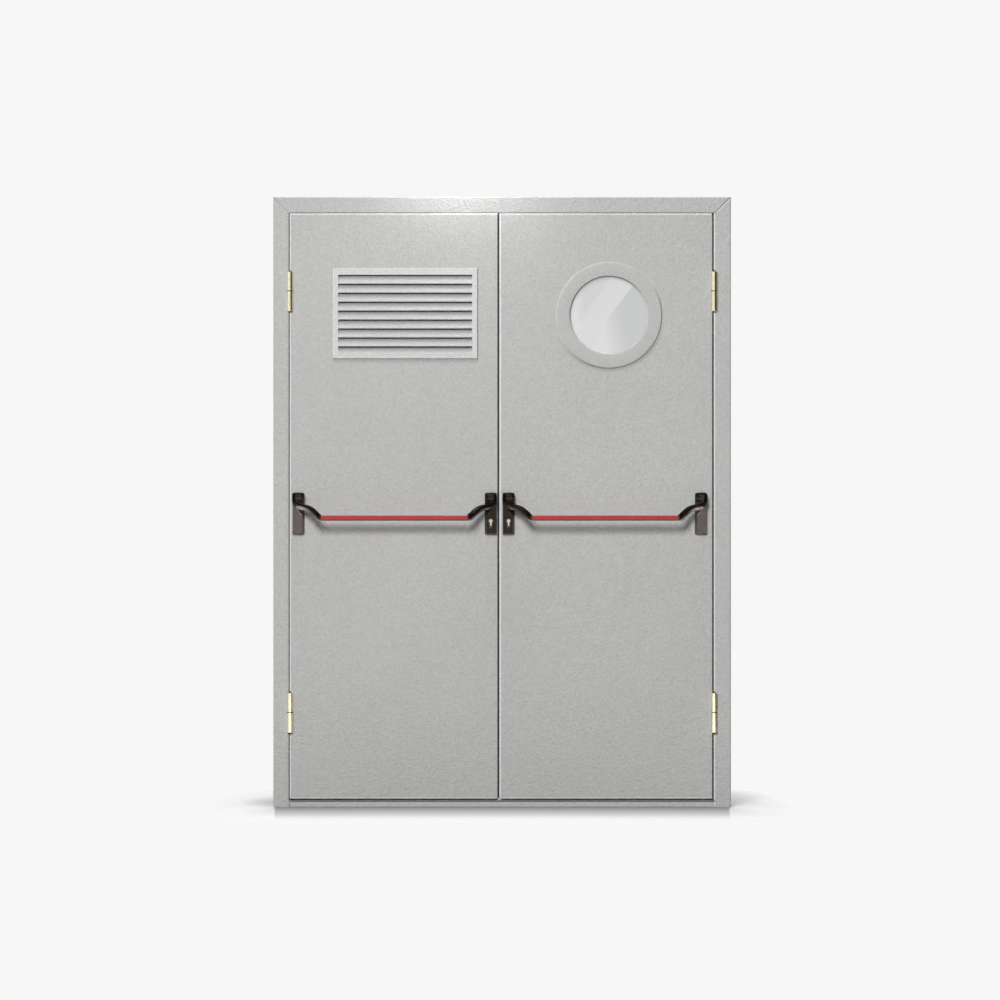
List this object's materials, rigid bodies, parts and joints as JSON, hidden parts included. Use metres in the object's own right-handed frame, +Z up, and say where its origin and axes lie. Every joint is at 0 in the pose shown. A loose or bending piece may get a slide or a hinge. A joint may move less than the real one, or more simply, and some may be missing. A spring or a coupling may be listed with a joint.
{
  "type": "double leaf fire exit door",
  "caption": "Double-leaf steel fire exit door in its frame, with push bars, a louvre grille and a round window; both leaves and both bars move.",
  "frame": {"origin": "middle of the threshold's underside, on the floor, half way through the frame's depth", "axes": "+X to the right along the wall seen from the push-bar side, +Y back through the doorway, +Z up"},
  "size_m": [1.575, 0.209, 2.1],
  "materials": {
    "frame_paint": "satin",
    "leaf_paint": "satin",
    "grille_paint": "satin",
    "ring_paint": "satin",
    "threshold_steel": "satin",
    "hinge_brass": "polished",
    "key_brass": "satin",
    "unit_metal": "satin",
    "bar_red": "gloss",
    "lock_steel": "satin",
    "seal_rubber": "matte",
    "mineral_core": "matte",
    "clear_glass": "polished"
  },
  "bodies": {
    "frame": {"left_jamb": "frame_paint", "right_jamb": "frame_paint", "frame_head": "frame_paint", "threshold": "threshold_steel", "frame_seal": "seal_rubber", "left_lower_hinge_frame_half": "hinge_brass", "left_upper_hinge_frame_half": "hinge_brass", "right_lower_hinge_frame_half": "hinge_brass", "right_upper_hinge_frame_half": "hinge_brass"},
    "left_leaf": {"left_leaf_front_skin": "leaf_paint", "left_leaf_back_skin": "leaf_paint", "left_leaf_core": "mineral_core", "left_lower_hinge_leaf_half": "hinge_brass", "left_upper_hinge_leaf_half": "hinge_brass", "left_pivot_cover": "unit_metal", "left_latch_cover": "unit_metal", "left_key_cylinder": "key_brass", "left_cylinder_rosette": "lock_steel", "left_lock_forend": "lock_steel", "left_meeting_seal": "seal_rubber", "grille_front_frame": "grille_paint", "grille_front_blades": "grille_paint", "grille_back_frame": "grille_paint", "grille_back_blades": "grille_paint"},
    "right_leaf": {"right_leaf_front_skin": "leaf_paint", "right_leaf_back_skin": "leaf_paint", "right_leaf_core": "mineral_core", "right_lower_hinge_leaf_half": "hinge_brass", "right_upper_hinge_leaf_half": "hinge_brass", "right_pivot_cover": "unit_metal", "right_latch_cover": "unit_metal", "right_key_cylinder": "key_brass", "right_cylinder_rosette": "lock_steel", "right_lock_forend": "lock_steel", "right_meeting_seal": "seal_rubber", "window_front_ring": "ring_paint", "window_back_ring": "ring_paint", "window_glass": "clear_glass", "window_seal": "seal_rubber"},
    "left_bar": {"left_push_bar": "bar_red", "left_pivot_lever": "unit_metal", "left_latch_lever": "unit_metal"},
    "right_bar": {"right_push_bar": "bar_red", "right_pivot_lever": "unit_metal", "right_latch_lever": "unit_metal"}
  },
  "joints": [
    {"name": "left_leaf_swing", "type": "hinge", "parent": "frame", "child": "left_leaf", "pos_m": [-0.73, -0.061, 1.05], "axis": [0, 0, -1], "range_deg": [0, 110]},
    {"name": "right_leaf_swing", "type": "hinge", "parent": "frame", "child": "right_leaf", "pos_m": [0.73, -0.061, 1.05], "axis": [0, 0, 1], "range_deg": [0, 110]},
    {"name": "left_bar_push", "type": "hinge", "parent": "left_leaf", "child": "left_bar", "pos_m": [-0.37, -0.0735, 1.065], "axis": [1, 0, 0], "range_deg": [0, 20], "stiffness_Nm_per_rad": 8, "springref_deg": -28.65},
    {"name": "right_bar_push", "type": "hinge", "parent": "right_leaf", "child": "right_bar", "pos_m": [0.353, -0.0735, 1.065], "axis": [1, 0, 0], "range_deg": [0, 20], "stiffness_Nm_per_rad": 8, "springref_deg": -28.65}
  ]
}
